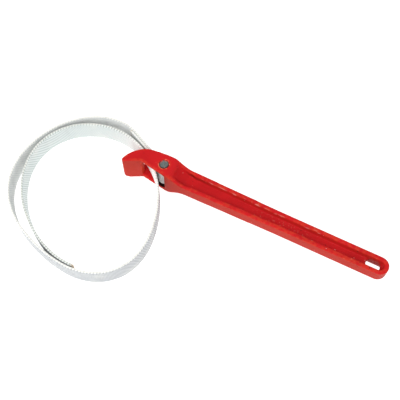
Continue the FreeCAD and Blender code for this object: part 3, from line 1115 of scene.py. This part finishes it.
def stitches_on_face(shape, values, side, turn):
    """The points and faces of all the stitches on one face of the sewn part."""
    rows = new_object("stitch_rows", bpy.data.meshes.new("stitch_rows"))
    modifier = rows.modifiers.new("rows", "NODES")
    modifier.node_group = shape.group
    for name, value in values.items():
        modifier[shape.identifiers[name]] = value
    mesh = plain_mesh(rows)
    co = points_of(mesh)
    co[:, 0] += settings().stitches.first + values["Length"] / 2
    co[:, 1] = side * (co[:, 1] + settings().webbing.thickness - STITCH_SUNK)
    co[:, 2] += STRAP_MIDDLE
    co[:, :2] = co[:, :2] @ turn.T
    faces = [tuple(p.vertices) for p in mesh.polygons]
    bpy.data.objects.remove(rows)
    return co, faces


def make_stitches():
    """The stitches on both faces of the sewn part."""
    look = settings().stitches
    points, faces = stitch_shape(look.length, look.thread)
    pattern = new_object("stitch_pattern", mesh_from("stitch_pattern", points, faces))
    heading, _ = sewn_heading(hinge_points()[0], settings().webbing.thickness / 2)
    turn = np.array(((math.cos(heading), -math.sin(heading)), (math.sin(heading), math.cos(heading))))
    material = sewing_thread()
    shape = stitch_group(material)
    values = {"Stitch": pattern, "Length": look.pitch * (look.count - 1),
              "Width": STRAP_WIDTH - 2 * look.margin, "Count": look.count, "Rows": look.rows}
    right, right_faces = stitches_on_face(shape, values, -1, turn)
    left, left_faces = stitches_on_face(shape, values, 1, turn)
    bpy.data.objects.remove(pattern)
    left_faces = [tuple(i + len(right) for i in face) for face in left_faces]
    mesh = mesh_from("stitches", np.concatenate((right, left)), right_faces + left_faces)
    face_outwards(mesh)
    mesh.materials.append(material)
    thing = new_object("stitches", mesh)
    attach(thing, "eye")
    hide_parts("stitching")


# ---------------------------------------------------------------- stage

FLOOR_HALF = 3.0
FLOOR_GAP = 0.2 * MM

# The point on the floor that the camera looks at, and its sensor's width in millimetres
LOOK_AT = Vector((0.0448, -0.0042, 0.0))
SENSOR_WIDTH = 36.0

SURROUNDINGS = 0.72

# The soft boxes stand in a ring round the wrench: its middle and its radius, their height and width
RING_MIDDLE = (0.03, -0.03, 0.0)
RING_RADIUS = 1.5
BOX_ELEVATION = math.radians(42)
BOX_WIDTH = 0.9

# Where each of them stands, in degrees from +X, and its power in watts
SOFT_BOXES = (
    ("back_light", 60, 2.0),
    ("left_light", 200, 5.0),
    ("front_light", 280, 8.0),
)


def add_light(name, place, target, power):
    light = bpy.data.lights.new(name, "AREA")
    light.shape = "DISK"
    light.size = BOX_WIDTH
    light.energy = power
    thing = new_object(name, light)
    thing.location = place
    thing.rotation_euler = (Vector(target) - Vector(place)).to_track_quat("-Z", "Y").to_euler()


def make_floor():
    points = [(x * FLOOR_HALF, y * FLOOR_HALF, 0) for x, y in ((-1, -1), (1, -1), (1, 1), (-1, 1))]
    floor = new_object("floor", mesh_from("floor", points, [(0, 1, 2, 3)], smooth=False))
    floor.location = (0, 0, -FLOOR_GAP)
    floor.data.materials.append(pale_floor())


def make_camera():
    stage = settings().stage
    back = Vector((math.sin(stage.azimuth) * math.cos(stage.elevation),
                   -math.cos(stage.azimuth) * math.cos(stage.elevation),
                   math.sin(stage.elevation)))
    camera = new_object("camera", bpy.data.cameras.new("camera"))
    camera.data.lens = stage.lens
    camera.data.sensor_width = SENSOR_WIDTH
    camera.location = LOOK_AT + back * stage.distance
    camera.rotation_euler = (-back).to_track_quat("-Z", "Y").to_euler()
    bpy.context.scene.camera = camera


def make_light():
    """Even surroundings, and soft boxes that stand where no flat face mirrors them."""
    world = bpy.data.worlds.new("studio")
    world.use_nodes = True
    background = world.node_tree.nodes["Background"]
    background.inputs["Color"].default_value = (1.0, 1.0, 1.0, 1.0)
    background.inputs["Strength"].default_value = SURROUNDINGS
    bpy.context.scene.world = world
    bpy.context.scene.view_settings.view_transform = "Standard"
    across = RING_RADIUS * math.cos(BOX_ELEVATION)
    for name, turn, power in SOFT_BOXES:
        angle = math.radians(turn)
        place = (RING_MIDDLE[0] + across * math.cos(angle), RING_MIDDLE[1] + across * math.sin(angle),
                 RING_RADIUS * math.sin(BOX_ELEVATION))
        add_light(name, place, RING_MIDDLE, power)


# ---------------------------------------------------------------- operators

class STRAPWRENCH_OT_stage(bpy.types.Operator):
    """Set up the floor, the lights and the camera"""
    bl_idname = "strapwrench.stage"
    bl_label = "Stage"

    def execute(self, context):
        make_floor()
        make_camera()
        make_light()
        return {"FINISHED"}


class STRAPWRENCH_OT_casting(bpy.types.Operator):
    """Build the enamelled cast handle"""
    bl_idname = "strapwrench.casting"
    bl_label = "Cast handle"

    def execute(self, context):
        make_casting()
        return {"FINISHED"}


class STRAPWRENCH_OT_pin(bpy.types.Operator):
    """Build the pin across the head"""
    bl_idname = "strapwrench.pin"
    bl_label = "Pin"

    def execute(self, context):
        make_pin()
        return {"FINISHED"}


class STRAPWRENCH_OT_webbing(bpy.types.Operator):
    """Build the woven strap"""
    bl_idname = "strapwrench.webbing"
    bl_label = "Webbing"

    def execute(self, context):
        make_webbing()
        return {"FINISHED"}


class STRAPWRENCH_OT_stitches(bpy.types.Operator):
    """Sew the strap's eye"""
    bl_idname = "strapwrench.stitches"
    bl_label = "Stitches"

    def execute(self, context):
        make_stitches()
        return {"FINISHED"}


OPERATORS = (
    STRAPWRENCH_OT_stage,
    STRAPWRENCH_OT_casting,
    STRAPWRENCH_OT_pin,
    STRAPWRENCH_OT_webbing,
    STRAPWRENCH_OT_stitches,
)


class STRAPWRENCH_PT_panel(bpy.types.Panel):
    """The strap wrench's pieces and sizes"""
    bl_idname = "STRAPWRENCH_PT_panel"
    bl_label = "Strap Wrench"
    bl_space_type = "VIEW_3D"
    bl_region_type = "UI"
    bl_category = "Strap Wrench"

    def draw(self, context):
        for operator in OPERATORS:
            self.layout.operator(operator.bl_idname)
        look = context.scene.strap_wrench
        for group in (look.handle, look.webbing, look.stitches, look.stage):
            box = self.layout.box()
            for name in group.__annotations__:
                box.prop(group, name)


CLASSES = (WebbingSettings, StitchSettings, HandleSettings, StageSettings, WrenchSettings,
           *OPERATORS, STRAPWRENCH_PT_panel)


def register():
    for item in CLASSES:
        bpy.utils.register_class(item)
    bpy.types.Scene.strap_wrench = PointerProperty(
        type=WrenchSettings, name="Strap wrench", description="Sizes and colours of the strap wrench")


def unregister():
    del bpy.types.Scene.strap_wrench
    for item in reversed(CLASSES):
        bpy.utils.unregister_class(item)


def main():
    register()
    bpy.ops.strapwrench.stage()
    bpy.ops.strapwrench.casting()
    bpy.ops.strapwrench.pin()
    bpy.ops.strapwrench.webbing()
    bpy.ops.strapwrench.stitches()


if __name__ == "__main__":
    main()
